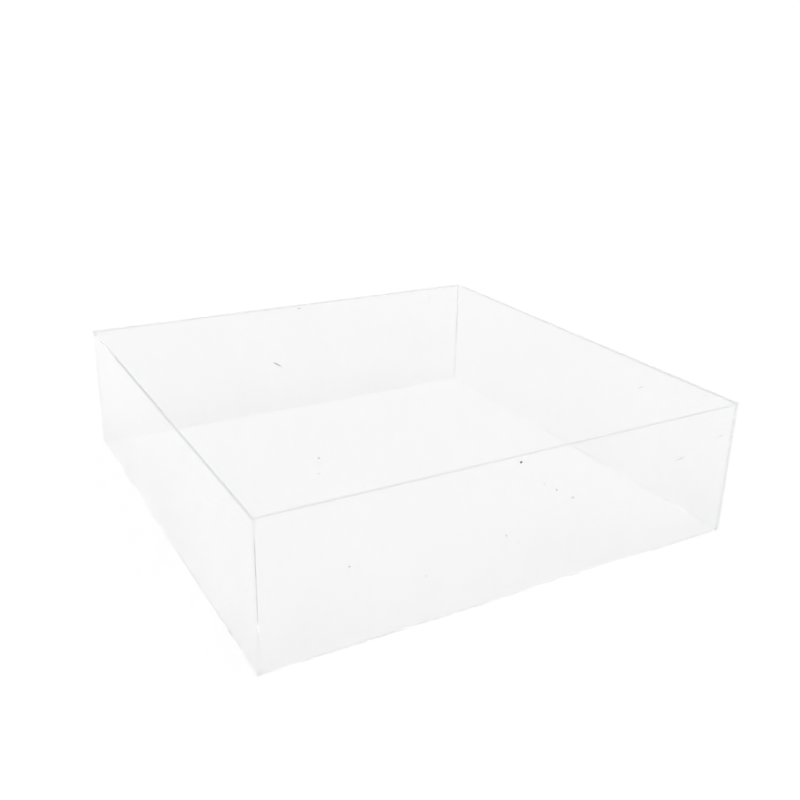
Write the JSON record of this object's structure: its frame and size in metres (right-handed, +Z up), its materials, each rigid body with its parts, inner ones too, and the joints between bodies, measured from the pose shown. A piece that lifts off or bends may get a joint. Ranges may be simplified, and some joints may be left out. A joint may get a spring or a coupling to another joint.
{
  "type": "acrylic display cover",
  "caption": "Low square display cover of clear acrylic sheet: a top and walls cemented at the edges, open underneath, resting on its rim.",
  "frame": {"origin": "centre of the plane that the rim stands on", "axes": "+X to the right, +Y to the back, +Z up; the front wall's outer face looks along -Y"},
  "size_m": [0.7, 0.7, 0.195],
  "materials": {
    "clear_acrylic_sheet": "clear colourless cast acrylic, polished faces and edges",
    "cured_cement": "clear cured acrylic cement, faintly grey along its edge"
  },
  "bodies": {
    "root": {"top_panel": "clear_acrylic_sheet", "front_wall": "clear_acrylic_sheet", "back_wall": "clear_acrylic_sheet", "left_wall": "clear_acrylic_sheet", "right_wall": "clear_acrylic_sheet", "front_left_corner_bond": "cured_cement", "front_right_corner_bond": "cured_cement", "back_left_corner_bond": "cured_cement", "back_right_corner_bond": "cured_cement", "front_top_bond": "cured_cement", "back_top_bond": "cured_cement", "left_top_bond": "cured_cement", "right_top_bond": "cured_cement"}
  },
  "joints": []
}
